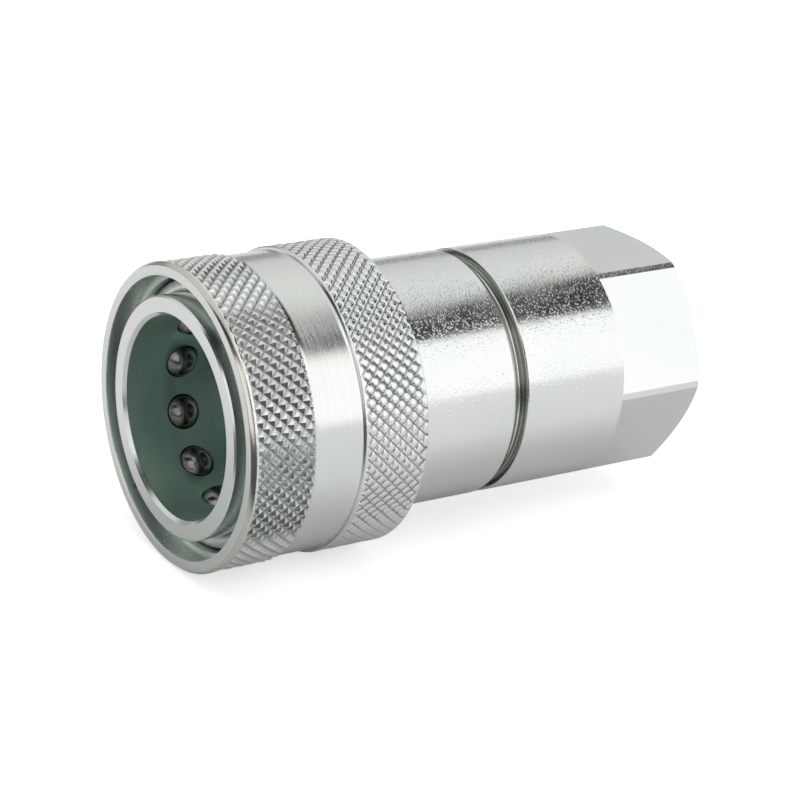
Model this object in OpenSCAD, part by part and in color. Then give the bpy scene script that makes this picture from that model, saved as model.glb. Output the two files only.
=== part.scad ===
// Ball-lock quick disconnect coupler, female half, 1/2 inch body size.
//
// The axis of the coupler lies along +X. X = 0 is the front face of the socket, where the mating
// nipple enters, and +X runs back to the hose port. +Z is up. Profiles are lists of [radius, x].

/* [Body] */
// Radius of the round body behind the sleeve
body_r = 15.35; // [15:0.05:15.9]
// Radius of the nose that carries the sleeve
nose_r = 14.68; // [14.5:0.01:14.8]
// Radius of the bore that takes the nipple's collar
socket_r = 12.33; // [12.25:0.01:12.45]
// Depth of the collar bore
socket_depth = 14.5; // [13.5:0.1:15.5]
// Radius of the bore that takes the nipple's probe
probe_r = 10.3; // [10.2:0.01:10.4]
// Place of the rear face of the front body
joint_x = 39.2; // [38.5:0.1:40]
// Radius of the collar that guides the back of the sleeve
guide_r = 16.4; // [16.2:0.05:16.45]

/* [Adapter] */
// Total length of the coupler
total_length = 68.05; // [66:0.05:70]
// Distance across the hex flats
hex_af = 27; // [26:0.5:28]
// Place where the hex flats start
hex_x = 55; // [53:0.5:57]
// Radius of the port thread's crests, G 1/2
port_r = 9.32; // [9.1:0.01:9.5]
// Length of the port thread
port_length = 15; // [13:0.5:16]
// Width of the joint groove between body and adapter
joint_gap = 1.3; // [1:0.1:1.6]

/* [Sleeve] */
// Outer radius over the knurled bands
sleeve_r = 18.68; // [18.4:0.02:19]
// Length of the sleeve
sleeve_length = 24; // [23.5:0.1:24.5]
// Depth of the smooth band between the knurled bands
band_depth = 0.45; // [0.2:0.05:0.6]
// Front edge of the smooth band
band_front_x = 8.5; // [8:0.1:9]
// Rear edge of the smooth band
band_rear_x = 15.1; // [14.5:0.1:16]
// Radius of the release pocket at the sleeve's mouth
pocket_r = 17.04; // [17:0.01:17.1]
// Depth of the release pocket
pocket_depth = 3.15; // [3:0.05:3.25]
// Travel of the sleeve from locked to released
sleeve_travel = 6.5; // [6.4:0.1:6.5]

/* [Balls] */
// Number of locking balls
ball_count = 12; // [10:1:12]
// Radius of a locking ball
ball_r = 2.25; // [2.2:0.01:2.25]
// Distance from the front face to the ball row
ball_x = 7.95; // [7.8:0.05:8.1]
// How far a locked ball stands into the socket
ball_bite = 1.3; // [1.2:0.05:1.3]
// Angle of the first ball around the axis
ball_phase = 6.5; // [0:0.5:30]

/* [Valve] */
// Travel of the poppet from closed to open
poppet_travel = 5.5; // [5:0.1:5.5]
// Radius of the valve opening in the seat
seat_r = 7.8; // [7.6:0.05:7.9]
// Place where the seat cone starts
seat_x = 25.7; // [25.5:0.1:26]
// Radius of the poppet's stem
stem_r = 2.9; // [2.8:0.05:3]

/* [Springs] */
// Wire diameter of the sleeve spring
sleeve_wire = 1.1; // [0.9:0.05:1.1]
// Turns of the sleeve spring
sleeve_turns = 4.25; // [3.5:0.25:4.25]
// Wire diameter of the poppet spring
poppet_wire = 0.9; // [0.8:0.05:0.9]
// Turns of the poppet spring
poppet_turns = 3.5; // [3:0.25:3.5]

/* [Hidden] */
$fn = 96;
wire_sides = 8;                          // sides of the spring wires
wire_rings = 24;                         // rings in one turn of a spring
over = 1;                                // how far a cutting solid runs past what it cuts

// Slope of the sleeve's locking ramp: the balls rise at this rate as the sleeve moves back.
ramp = ball_bite / sleeve_travel;
ball_rest_r = socket_r - ball_bite + ball_r;      // distance of a locked ball from the axis
ramp_clearance = 0.1;
ramp_r = ball_rest_r + ball_r * sqrt(1 + ramp * ramp) + ramp_clearance;   // ramp's radius at ball_x
land_x = ball_x + ball_r * sin(atan(ramp));       // where the ramp ends in the locking land
land_r = ramp_r - ramp * (land_x - ball_x);
land_end_x = 10.3;
lip_end_x = 11.1;
lip_r = nose_r + 0.08;
cavity_r = guide_r + 0.08;                        // spring cavity, which slides on the guide collar

guide_x = 22.6;                                   // front of the guide collar
guide_end_x = 23.7;
ball_hole_r = ball_r + 0.05;
ball_lip_r = 2.08;                                // inner end of a ball hole, which keeps the ball in
ball_cone_r = 13;                                 // where a ball hole starts to narrow

relief_x = 5.5;                                   // shallow relief of the socket round the balls
relief_full_x = 7.2;                              // it reaches its depth here and holds it
relief_back_x = 8.8;                              // to here
relief_end_x = 13.4;
relief_r = socket_r + 0.17;
mouth_chamfer = 0.4;

ring_x = 4.3;                                     // stop ring: a round wire in a groove on the nose
ring_mid_r = 15.3;
ring_wire_r = 1;
ring_gap = 14;                                    // degrees left open between the ring's ends
ring_gap_at = 200;                                // where the opening is centred

gland_x = 18.6;                                   // groove of the probe seal
gland_end_x = 23.2;
gland_r = 12.55;
probe_step_x = 15.6;                              // where the collar bore has narrowed to the probe bore
seat_front_x = 24.5;
chamber_r = 11.4;
thread_r = 13;                                    // body and adapter thread, modelled as its nominal size
thread_x = 32.5;
boss_x = 33;                                      // front of the adapter's threaded boss
bowl_r = 10.7;                                    // adapter's bore that takes the valve guide
guide_seat_x = 41.5;
circlip_x = 37.2;                                 // groove of the guide circlip
circlip_end_x = 38.45;
passage_r = 8.5;
neck_r = 14.3;                                    // floor of the joint groove
shoulder_x = joint_x + joint_gap;
rear_face_r = 13.45;
rear_chamfer = (body_r - rear_face_r) * tan(30);
port_chamfer = 1;
port_x = total_length - port_chamfer - port_length;

head_r = 9.3;                                     // largest radius of the poppet's head
head_x = 29.6;                                    // back of the poppet's head
head_gap = 0.25;                                  // gap between the poppet's cone and the seat cone
head_cone_x = seat_x + head_r - seat_r + head_gap;
nose_tip_x = 19.2;
stem_end_x = 45;
poppet_seal_r = 0.9;
poppet_seal_x = 27.2;
// The poppet seal stands off the seat cone by 0.05, measured square to the cone.
poppet_seal_mid_r = seat_r + poppet_seal_x - seat_x - (poppet_seal_r + 0.05) * sqrt(2);
spider_x = 38.5;                                  // front of the valve guide
hub_end_x = 45.5;
spider_legs = 4;

function ball_name(i) = str("lock_ball_", i < 9 ? "0" : "", i + 1);

// Turns a profile of [radius, x] points round the coupler's axis.
module turned(points, angle = 360, start = 0) {
    rotate([0, 90, 0])
        rotate([0, 0, start])
            rotate_extrude(angle = angle)
                polygon(points);
}

// A round ring: wire of radius r whose middle runs at radius mid_r in the plane x = at_x.
module round_ring(r, mid_r, at_x, angle = 360, start = 0) {
    translate([at_x, 0, 0])
        rotate([0, 90, 0])
            rotate([0, 0, start])
                rotate_extrude(angle = angle)
                    translate([mid_r, 0])
                        circle(r = r, $fn = 48);
}

// Places its children on the axis of ball hole i, with +Z pointing away from the coupler's axis.
module at_ball(i) {
    rotate([ball_phase + i * 360 / ball_count, 0, 0])
        translate([ball_x, 0, 0])
            rotate([-90, 0, 0])
                children();
}

// Centre line of a spring at turn t: pitch is small for the dead turn at each end.
function spring_x(t, turns, lo, hi, wire) =
    let (dead = 0.75, live = turns - 2 * dead, dead_rise = dead * wire)
    t < dead ? lo + wire / 2 + t * wire
    : t > turns - dead ? hi - wire / 2 - (turns - t) * wire
    : lo + wire / 2 + dead_rise + (t - dead) / live * (hi - lo - wire - 2 * dead_rise);

// A helical spring of round wire between the planes x = lo and x = hi.
module coil_spring(wire, mid_r, turns, lo, hi) {
    last = round(turns * wire_rings);
    points = [
        for (n = [0 : last], k = [0 : wire_sides - 1])
            let (
                t = n / wire_rings,
                a = 360 * t,
                b = 360 * k / wire_sides,
                r = mid_r + wire / 2 * cos(b)
            )
            [spring_x(t, turns, lo, hi, wire) + wire / 2 * sin(b), r * cos(a), r * sin(a)]
    ];
    walls = [
        for (n = [0 : last - 1], k = [0 : wire_sides - 1])
            let (j = (k + 1) % wire_sides, here = n * wire_sides, next = here + wire_sides)
            [here + k, here + j, next + j, next + k]
    ];
    caps = [
        [for (k = [wire_sides - 1 : -1 : 0]) k],
        [for (k = [0 : wire_sides - 1]) last * wire_sides + k]
    ];
    polyhedron(points, concat(walls, caps));
}

// Front body: nose, ball cage, probe seal gland, valve seat and the threaded end.
module front_body() {
    color([0.78, 0.79, 0.8])
    difference() {
        turned([
            [socket_r + mouth_chamfer, 0],
            [nose_r - 0.2, 0],
            [nose_r, 0.2],
            [nose_r, guide_x],
            [guide_r, guide_x],
            [guide_r, guide_end_x],
            [body_r, guide_end_x],
            [body_r, joint_x - 0.65],
            [body_r - 0.35, joint_x],
            [thread_r + 0.5, joint_x],
            [thread_r + 0.02, joint_x - 0.5],
            [thread_r + 0.02, thread_x],
            [chamber_r, thread_x],
            [chamber_r, seat_x + chamber_r - seat_r],
            [seat_r, seat_x],
            [seat_r, seat_front_x],
            [probe_r, seat_front_x],
            [probe_r, gland_end_x],
            [gland_r, gland_end_x],
            [gland_r, gland_x],
            [probe_r, gland_x],
            [probe_r, probe_step_x],
            [socket_r, socket_depth],
            [socket_r, relief_end_x],
            [relief_r, relief_back_x],
            [relief_r, relief_full_x],
            [socket_r, relief_x],
            [socket_r, mouth_chamfer]
        ]);
        round_ring(ring_wire_r + 0.03, ring_mid_r, ring_x);
        for (i = [0 : ball_count - 1])
            at_ball(i) {
                translate([0, 0, ball_cone_r])
                    cylinder(r = ball_hole_r, h = nose_r - ball_cone_r + over);
                translate([0, 0, relief_r - 1.2])
                    cylinder(r1 = ball_lip_r - 0.05, r2 = ball_hole_r, h = ball_cone_r - relief_r + 1.2);
            }
    }
}

// Rear adapter: threaded boss, neck of the joint groove, hex end and hose port.
module rear_adapter() {
    color([0.8, 0.81, 0.82])
    difference() {
        turned([
            [bowl_r, boss_x],
            [thread_r - 0.6, boss_x],
            [thread_r, boss_x + 0.6],
            [thread_r, 34.3],
            [11.5, 34.3],
            [11.5, 36.5],
            [thread_r, 36.5],
            [thread_r, joint_x - 0.8],
            [thread_r - 0.6, joint_x - 0.6],
            [thread_r - 0.6, joint_x],
            [neck_r, joint_x],
            [neck_r, shoulder_x],
            [body_r - 0.1, shoulder_x],
            [body_r, shoulder_x + 0.1],
            [body_r, total_length - rear_chamfer],
            [rear_face_r, total_length],
            [port_r + port_chamfer, total_length],
            [port_r, total_length - port_chamfer],
            [port_r, port_x],
            [passage_r, port_x - 0.5],
            [passage_r, guide_seat_x],
            [bowl_r, guide_seat_x]
        ]);
        for (k = [0 : 5])
            rotate([60 * k, 0, 0])
                translate([hex_x, -body_r, hex_af / 2])
                    cube([total_length - hex_x + over, 2 * body_r, body_r]);
        // groove for the circlip that keeps the valve guide in
        turned([
            [bowl_r - over, circlip_x],
            [bowl_r + 0.6, circlip_x],
            [bowl_r + 0.6, circlip_end_x],
            [bowl_r - over, circlip_end_x]
        ]);
    }
}

// Locking sleeve: two bands for the grip, the release pocket, the ramp and the spring cavity.
module locking_sleeve() {
    color([0.76, 0.77, 0.76])
    turned([
        [pocket_r + 0.15, 0],
        [sleeve_r - 0.43, 0],
        [sleeve_r, 0.5],
        [sleeve_r, band_front_x],
        [sleeve_r - band_depth, band_front_x + 0.2],
        [sleeve_r - band_depth, band_rear_x],
        [sleeve_r - 0.15, band_rear_x],
        [sleeve_r, band_rear_x + 0.3],
        [sleeve_r, sleeve_length - 0.3],
        [sleeve_r - 0.3, sleeve_length],
        [cavity_r + 0.2, sleeve_length],
        [cavity_r, sleeve_length - 0.2],
        [cavity_r, lip_end_x],
        [lip_r, lip_end_x],
        [lip_r, land_end_x],
        [land_r, land_end_x],
        [land_r, land_x],
        [ramp_r + ramp * (ball_x - pocket_depth), pocket_depth],
        [pocket_r, pocket_depth],
        [pocket_r, 0.15]
    ]);
}

// Sleeve spring: pushes the sleeve forward, from the guide collar to the sleeve's lip.
module sleeve_spring() {
    color([0.55, 0.55, 0.56])
    coil_spring(sleeve_wire, 15.6, sleeve_turns, lip_end_x + 0.03, guide_x - 0.03);
}

// Stop ring: a split wire ring that stops the sleeve's forward travel.
module sleeve_stop_ring() {
    color([0.6, 0.61, 0.6])
    round_ring(ring_wire_r, ring_mid_r, ring_x, 360 - ring_gap, ring_gap_at + ring_gap / 2);
}

// Locking ball number i, held in its hole in the nose.
module lock_ball(i) {
    color([0.42, 0.4, 0.39])
    at_ball(i)
        translate([0, 0, ball_rest_r])
            sphere(r = ball_r);
}

// Probe seal: the rubber ring that grips the nipple's probe.
module probe_seal() {
    color([0.1, 0.1, 0.1])
    round_ring(1.3, 11.2, 21.5);
}

// Backup ring: a square section ring in front of the probe seal.
module backup_ring() {
    inner = probe_r + 0.25;
    outer = gland_r - 0.05;
    front = gland_x + 0.05;
    back = gland_x + 1.5;
    color([0.93, 0.93, 0.9])
    turned([[inner, front], [outer, front], [outer, back], [inner, back]]);
}

// Joint seal: the rubber ring between the body and the adapter's boss.
module joint_seal() {
    color([0.1, 0.1, 0.1])
    round_ring(0.74, 12.26, 35.4);
}

// Valve poppet: tip that the nipple's own poppet pushes, sealing cone and guide stem.
module valve_poppet() {
    color([0.7, 0.7, 0.68])
    difference() {
        turned([
            [0, nose_tip_x],
            [3, nose_tip_x],
            [3.8, nose_tip_x + 0.8],
            [3.8, 23.6],
            [6.6, 24.8],
            [seat_r - head_gap - 0.5, 25.2],
            [head_r, head_cone_x],
            [head_r, head_x],
            [stem_r, head_x],
            [stem_r, stem_end_x - 0.5],
            [stem_r - 0.5, stem_end_x],
            [0, stem_end_x]
        ]);
        round_ring(poppet_seal_r + 0.02, poppet_seal_mid_r, poppet_seal_x);
    }
}

// Poppet seal: the rubber ring set in the poppet's cone.
module poppet_seal() {
    color([0.12, 0.12, 0.12])
    round_ring(poppet_seal_r, poppet_seal_mid_r, poppet_seal_x);
}

// Poppet spring: closes the valve, from the poppet's head to the valve guide.
module poppet_spring() {
    color([0.55, 0.55, 0.56])
    coil_spring(poppet_wire, 5.2, poppet_turns, head_x + 0.03, spider_x - 0.03);
}

// Valve guide: rim, legs and the hub that the poppet's stem slides in.
module valve_guide() {
    color([0.72, 0.71, 0.66])
    difference() {
        union() {
            turned([
                [8.9, spider_x],
                [bowl_r - 0.05, spider_x],
                [bowl_r - 0.05, guide_seat_x],
                [8.9, guide_seat_x]
            ]);
            turned([
                [0, spider_x],
                [5.8, spider_x],
                [5.8, spider_x + 1.2],
                [4.4, spider_x + 2],
                [4.4, hub_end_x],
                [0, hub_end_x]
            ]);
            for (k = [0 : spider_legs - 1])
                rotate([45 + k * 360 / spider_legs, 0, 0])
                    translate([spider_x, -1.1, 3.5])
                        cube([guide_seat_x - spider_x, 2.2, 6]);
        }
        translate([spider_x - over, 0, 0])
            rotate([0, 90, 0])
                cylinder(r = stem_r + 0.07, h = hub_end_x - spider_x + 2 * over);
    }
}

// Guide circlip: a flat split ring that keeps the valve guide in the adapter.
module guide_circlip() {
    inner = bowl_r - 0.9;
    outer = bowl_r + 0.55;
    front = circlip_x + 0.1;
    back = circlip_end_x - 0.05;
    color([0.4, 0.4, 0.42])
    turned([[inner, front], [outer, front], [outer, back], [inner, back]], 330, 15);
}

front_body();
rear_adapter();
locking_sleeve();
sleeve_spring();
sleeve_stop_ring();
for (i = [0 : ball_count - 1])
    lock_ball(i);
probe_seal();
backup_ring();
joint_seal();
valve_poppet();
poppet_seal();
poppet_spring();
valve_guide();
guide_circlip();
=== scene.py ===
"""Looks of a ball-lock quick disconnect coupler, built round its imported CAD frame.

The coupler's axis lies along +X. X = 0 is the front face of the socket, +X runs back to the hose
port and +Z is up. Sizes are given in millimetres and turned into metres when a mesh is made.
"""

import logging
import math
from dataclasses import dataclass
from enum import Enum
from typing import Callable

import bpy
import numpy as np
from mathutils import Matrix, Vector


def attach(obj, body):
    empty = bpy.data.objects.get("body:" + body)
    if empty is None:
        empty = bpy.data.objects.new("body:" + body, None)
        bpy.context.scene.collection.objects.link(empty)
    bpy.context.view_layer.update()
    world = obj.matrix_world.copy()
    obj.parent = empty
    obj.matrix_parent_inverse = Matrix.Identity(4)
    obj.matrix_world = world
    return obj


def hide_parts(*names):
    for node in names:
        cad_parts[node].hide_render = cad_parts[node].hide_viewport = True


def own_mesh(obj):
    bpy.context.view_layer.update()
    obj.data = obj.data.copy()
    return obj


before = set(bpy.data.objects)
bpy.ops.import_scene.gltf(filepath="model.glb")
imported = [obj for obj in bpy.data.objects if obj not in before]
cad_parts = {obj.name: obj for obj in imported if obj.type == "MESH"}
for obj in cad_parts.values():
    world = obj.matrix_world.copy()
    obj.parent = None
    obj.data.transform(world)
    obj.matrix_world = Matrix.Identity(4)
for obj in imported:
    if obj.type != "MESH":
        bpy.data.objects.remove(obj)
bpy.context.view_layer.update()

MM = 0.001
LOG = logging.getLogger("coupler")
Colour = tuple[float, float, float]
Span = tuple[float, float]
Rows = tuple[np.ndarray, np.ndarray, np.ndarray]
Socket = bpy.types.NodeSocket
Sockets = bpy.types.bpy_prop_collection
Values = dict[str | int, object]

# Sizes in millimetres that a piece and its finish share, the same as in the CAD source.
LENGTH = 68.05
SLEEVE_R = 18.68
POCKET_R = 17.04
SOCKET_R = 12.33
BODY_R = 15.35
JOINT_X = 39.2
SHOULDER_X = 40.5
NECK_R = 14.3


# ---------------------------------------------------------------- surfaces


@dataclass
class Surface:
    """A triangle surface: points in millimetres, corner numbers, and named values at the points."""

    points: np.ndarray
    triangles: np.ndarray
    values: dict[str, np.ndarray]

    def welded(self) -> "Surface":
        """Joins points closer than a hundred-thousandth of a millimetre and drops flat triangles.

        Returns:
            A new surface with closed seams and no triangle that uses a point twice.
        """
        keys = np.round(self.points * 1e5).astype(np.int64)
        _, first, where = np.unique(keys, axis=0, return_index=True, return_inverse=True)
        triangles = where.reshape(-1)[self.triangles]
        a, b, c = triangles.T
        triangles = triangles[(a != b) & (b != c) & (c != a)]
        values = {name: value[first] for name, value in self.values.items()}
        return Surface(self.points[first], triangles, values)

    def to_object(self, name: str, crease: float = 30.0) -> bpy.types.Object:
        """Makes the Blender object, smooth except where faces meet at more than the crease angle.

        Args:
            name: The object's name.
            crease: Angle in degrees above which an edge stays sharp.

        Returns:
            The new object, at the origin, linked to the scene.
        """
        mesh = bpy.data.meshes.new(name)
        mesh.from_pydata((self.points * MM).tolist(), [], self.triangles.tolist())
        for label, value in self.values.items():
            layer = mesh.attributes.new(label, "FLOAT", "POINT")
            layer.data.foreach_set("value", value.astype(np.float32))
        mesh.polygons.foreach_set("use_smooth", np.ones(len(mesh.polygons), dtype=bool))
        mesh.set_sharp_from_angle(angle=math.radians(crease))
        mesh.update()
        piece = bpy.data.objects.new(name, mesh)
        bpy.context.scene.collection.objects.link(piece)
        return piece


def grid_triangles(rows: int, columns: int, alternate: bool = False) -> np.ndarray:
    """Triangles of a grid whose last column joins its first and whose last row joins its first.

    Args:
        rows: Number of rows, along the profile.
        columns: Number of columns, round the axis.
        alternate: Splits neighbouring squares along opposite diagonals, so that creases which run
            at 45 degrees both ways always lie on an edge.

    Returns:
        An array of corner numbers, three to a triangle, facing away from the axis where the
        profile runs towards +X.
    """
    row, column = np.meshgrid(np.arange(rows), np.arange(columns), indexing="ij")
    next_row, next_column = (row + 1) % rows, (column + 1) % columns
    here, over = row * columns + column, row * columns + next_column
    along, both = next_row * columns + column, next_row * columns + next_column
    rising = np.stack([[here, over, both], [here, both, along]], axis=0)
    falling = np.stack([[here, over, along], [over, both, along]], axis=0)
    if not alternate:
        return rising.transpose(2, 3, 0, 1).reshape(-1, 3)
    odd = (row + column + 1) % 2 == 0
    return np.where(odd, falling, rising).transpose(2, 3, 0, 1).reshape(-1, 3)


def turned(
    x: np.ndarray, r: np.ndarray, angle: np.ndarray, alternate: bool = False, **values: np.ndarray
) -> Surface:
    """Carries a closed profile round the coupler's axis.

    A point is (x, r cos a, r sin a), where x and r may change with both the row and the angle a.

    Args:
        x: Places along the axis, rows by columns.
        r: Distances from the axis, rows by columns.
        angle: Angles of the columns in radians, from +Y towards +Z.
        alternate: Passed on to grid_triangles.
        values: Named values at the points, rows by columns.

    Returns:
        The closed surface.
    """
    points = np.stack([x, r * np.cos(angle), r * np.sin(angle)], axis=-1).reshape(-1, 3)
    triangles = grid_triangles(*x.shape, alternate=alternate)
    named = {name: value.reshape(-1) for name, value in values.items()}
    return Surface(points, triangles, named).welded()


def swept_wire(
    centre: np.ndarray, outward: np.ndarray, wire_r: float, sides: int, caps: int = 5
) -> Surface:
    """Carries a round section along a path and closes both ends with half spheres.

    Ring k has radius wire_r cos(c) and is moved wire_r sin(c) past the path's end, where c runs
    from 0 to a right angle over the rings of a cap.

    Args:
        centre: Points of the path, one row each.
        outward: Unit vectors square to the path that the section's first axis follows.
        wire_r: Radius of the wire.
        sides: Points round the wire.
        caps: Rings in each rounded end.

    Returns:
        The closed surface.
    """
    tangent = np.gradient(centre, axis=0)
    tangent /= np.linalg.norm(tangent, axis=1, keepdims=True)
    tilt = np.linspace(0.0, math.pi / 2, caps + 1)[1:]
    lead = centre[0] - np.sin(tilt[::-1, None]) * wire_r * tangent[0]
    tail = centre[-1] + np.sin(tilt[:, None]) * wire_r * tangent[-1]
    spots = np.concatenate([lead, centre, tail])
    size = np.concatenate([np.cos(tilt[::-1]), np.ones(len(centre)), np.cos(tilt)]) * wire_r
    size[[0, -1]] = 0.0
    first = np.concatenate([np.repeat(outward[:1], caps, 0), outward, np.repeat(outward[-1:], caps, 0)])
    heads, tails = np.repeat(tangent[:1], caps, 0), np.repeat(tangent[-1:], caps, 0)
    heading = np.concatenate([heads, tangent, tails])
    second = np.cross(heading, first)
    turn = np.linspace(0.0, 2 * math.pi, sides, endpoint=False)
    ring = np.cos(turn)[None, :, None] * first[:, None] + np.sin(turn)[None, :, None] * second[:, None]
    points = spots[:, None] + size[:, None, None] * ring
    rows = len(spots)
    triangles = grid_triangles(rows, sides)
    triangles = triangles[: (rows - 1) * sides * 2]
    return Surface(points.reshape(-1, 3), triangles[:, ::-1], {}).welded()


def facing_out(surface: Surface) -> Surface:
    """Turns every triangle of a closed surface round if the surface encloses a negative volume."""
    a, b, c = (surface.points[corner] for corner in surface.triangles.T)
    volume = np.einsum("ij,ij->", a, np.cross(b, c))
    flipped = surface.triangles if volume > 0 else surface.triangles[:, ::-1]
    return Surface(surface.points, flipped, surface.values)


def scatter(a: np.ndarray, b: np.ndarray) -> np.ndarray:
    """A number from 0 to 1 for each pair of whole numbers: the fraction of a large sine."""
    swing = np.sin(a * 12.9898 + b * 78.233) * 43758.5453
    return swing - np.floor(swing)


def zigzag(t: np.ndarray) -> np.ndarray:
    """A triangle wave of period 1: 0 at whole numbers and 1 half way between them."""
    return 1.0 - np.abs(2.0 * (t - np.floor(t)) - 1.0)


# ---------------------------------------------------------------- shader bench


class Bench:
    """Puts shader nodes into one tree and wires each as it is made."""

    def __init__(self, tree: bpy.types.NodeTree) -> None:
        """Starts on a tree."""
        self.tree = tree

    def feed(self, socket: Socket, value: object) -> None:
        """Links a socket to another one, or sets its value."""
        if isinstance(value, Socket):
            self.tree.links.new(value, socket)
        else:
            socket.default_value = value

    def put(self, kind: str, values: Values | None = None, **settings: object) -> bpy.types.Node:
        """Adds one node.

        Args:
            kind: The node's type, without its ShaderNode prefix.
            values: Values or sockets for its inputs, by name or number.
            settings: Properties of the node itself.

        Returns:
            The node.
        """
        node = self.tree.nodes.new("ShaderNode" + kind)
        for key, setting in settings.items():
            setattr(node, key, setting)
        for key, value in (values or {}).items():
            self.feed(node.inputs[key], value)
        return node

    def math(self, operation: str, a: object, b: object = 0.0, clamp: bool = False) -> Socket:
        """The result of a Math node on a and b."""
        return self.put("Math", {0: a, 1: b}, operation=operation, use_clamp=clamp).outputs[0]

    def times(self, a: object, b: object) -> Socket:
        """The product of a and b."""
        return self.math("MULTIPLY", a, b)

    def plus(self, a: object, b: object) -> Socket:
        """The sum of a and b."""
        return self.math("ADD", a, b)

    def less(self, a: object, b: object) -> Socket:
        """What is left of a when b is taken away."""
        return self.math("SUBTRACT", a, b)

    def span(
        self, value: object, low: float, high: float, start: float = 0.0, end: float = 1.0
    ) -> Socket:
        """Carries value from the range low to high over to start to end, smoothly and clamped."""
        values = {"Value": value, "From Min": low, "From Max": high, "To Min": start, "To Max": end}
        return self.put("MapRange", values, interpolation_type="SMOOTHSTEP").outputs["Result"]

    def mix(self, factor: object, a: object, b: object, blend: str = "MIX") -> Socket:
        """The colour between a and b at a factor."""
        values = {0: factor, 6: rgba(a), 7: rgba(b)}
        return self.put("Mix", values, data_type="RGBA", blend_type=blend).outputs[2]

    def ramp(self, value: object, stops: tuple[tuple[float, float], ...]) -> Socket:
        """A grey that follows straight lines between stops of (position, grey)."""
        node = self.put("ValToRGB", {0: value})
        elements = node.color_ramp.elements
        while len(elements) < len(stops):
            elements.new(1.0)
        for element, (position, grey) in zip(elements, stops):
            element.position = position
            element.color = (grey, grey, grey, 1.0)
        return node.outputs[0]

    def noise(
        self, vector: object, scale: float, detail: float = 2.0, rough: float = 0.5, **values: object
    ) -> Socket:
        """The height of a noise texture at a vector."""
        inputs = {"Vector": vector, "Scale": scale, "Detail": detail, "Roughness": rough, **values}
        return self.put("TexNoise", inputs).outputs[0]

    def bump(self, height: object, strength: object, distance: float, normal: object = None) -> Socket:
        """The normal after a bump of the given distance in millimetres."""
        values = {"Height": height, "Strength": strength, "Distance": distance * MM}
        if normal is not None:
            values["Normal"] = normal
        return self.put("Bump", values).outputs[0]

    def group(self, tree: bpy.types.NodeTree, **values: object) -> bpy.types.Node:
        """Places a shared group and feeds its inputs, whose spaces are written as underscores."""
        node = self.put("Group")
        node.node_tree = tree
        for key, value in values.items():
            self.feed(node.inputs[key.replace("_", " ")], value)
        return node


def rgba(value: object) -> object:
    """A colour with its alpha added, or a socket as it is."""
    return (*value, 1.0) if isinstance(value, tuple) and len(value) == 3 else value


class Kind(Enum):
    """The socket types that the shared groups use."""

    NUMBER = "NodeSocketFloat"
    VECTOR = "NodeSocketVector"
    COLOUR = "NodeSocketColor"


@dataclass(frozen=True)
class GroupPlan:
    """A shared effect: its name, its sockets and the function that wires it."""

    name: str
    inputs: tuple[tuple[str, Kind, object], ...]
    outputs: tuple[tuple[str, Kind], ...]
    wire: Callable[[Bench, Values], Values]

    def build(self) -> bpy.types.NodeTree:
        """Makes the node group, or returns the one made before.

        Returns:
            The group's node tree.
        """
        if self.name in bpy.data.node_groups:
            return bpy.data.node_groups[self.name]
        tree = bpy.data.node_groups.new(self.name, "ShaderNodeTree")
        for label, kind, default in self.inputs:
            socket = tree.interface.new_socket(name=label, in_out="INPUT", socket_type=kind.value)
            if default is not None:
                socket.default_value = default
        for label, kind in self.outputs:
            tree.interface.new_socket(name=label, in_out="OUTPUT", socket_type=kind.value)
        bench = Bench(tree)
        inlet = tree.nodes.new("NodeGroupInput")
        outlet = tree.nodes.new("NodeGroupOutput")
        results = self.wire(bench, {label: inlet.outputs[label] for label, _, _ in self.inputs})
        for label, socket in results.items():
            bench.feed(outlet.inputs[label], socket)
        return tree


def wire_axis(bench: Bench, given: Values) -> Values:
    """Cylinder coordinates in millimetres, and a vector that runs along a turned profile.

    Along is x, Radius is the distance from the axis, and Path holds x plus radius, and the cosine
    and sine of the angle round the axis, so that noise on it has no seam.
    """
    split = bench.put("SeparateXYZ", {0: given["Vector"]}).outputs
    across = bench.put("CombineXYZ", {1: split[1], 2: split[2]}).outputs[0]
    length = bench.put("VectorMath", {0: across}, operation="LENGTH").outputs["Value"]
    ring = bench.put("VectorMath", {0: across}, operation="NORMALIZE").outputs[0]
    along = bench.times(split[0], 1000.0)
    radius = bench.times(length, 1000.0)
    turn = bench.put("SeparateXYZ", {0: ring}).outputs
    path = bench.put("CombineXYZ", {0: bench.plus(along, radius), 1: turn[1], 2: turn[2]})
    return {"Along": along, "Radius": radius, "Path": path.outputs[0]}


def wire_turned(bench: Bench, given: Values) -> Values:
    """Fine lines that a lathe tool leaves: noise drawn out round the axis and tight along it.

    Density is how tight they are along the profile, and Waver is how much they change on the way
    round. Height is seven parts fine noise to three parts broad, and Tone follows the fine noise.
    """
    scale = bench.put("CombineXYZ", {0: given["Density"], 1: given["Waver"], 2: given["Waver"]})
    stretched = bench.put("VectorMath", {0: given["Path"], 1: scale.outputs[0]}, operation="MULTIPLY")
    fine = bench.noise(stretched.outputs[0], 1.0, 3.0, 0.65)
    wide = bench.noise(stretched.outputs[0], 0.13, 1.0, 0.5)
    height = bench.plus(bench.times(fine, 0.7), bench.times(wide, 0.3))
    return {"Height": height, "Tone": bench.span(fine, 0.3, 0.7)}


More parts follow.
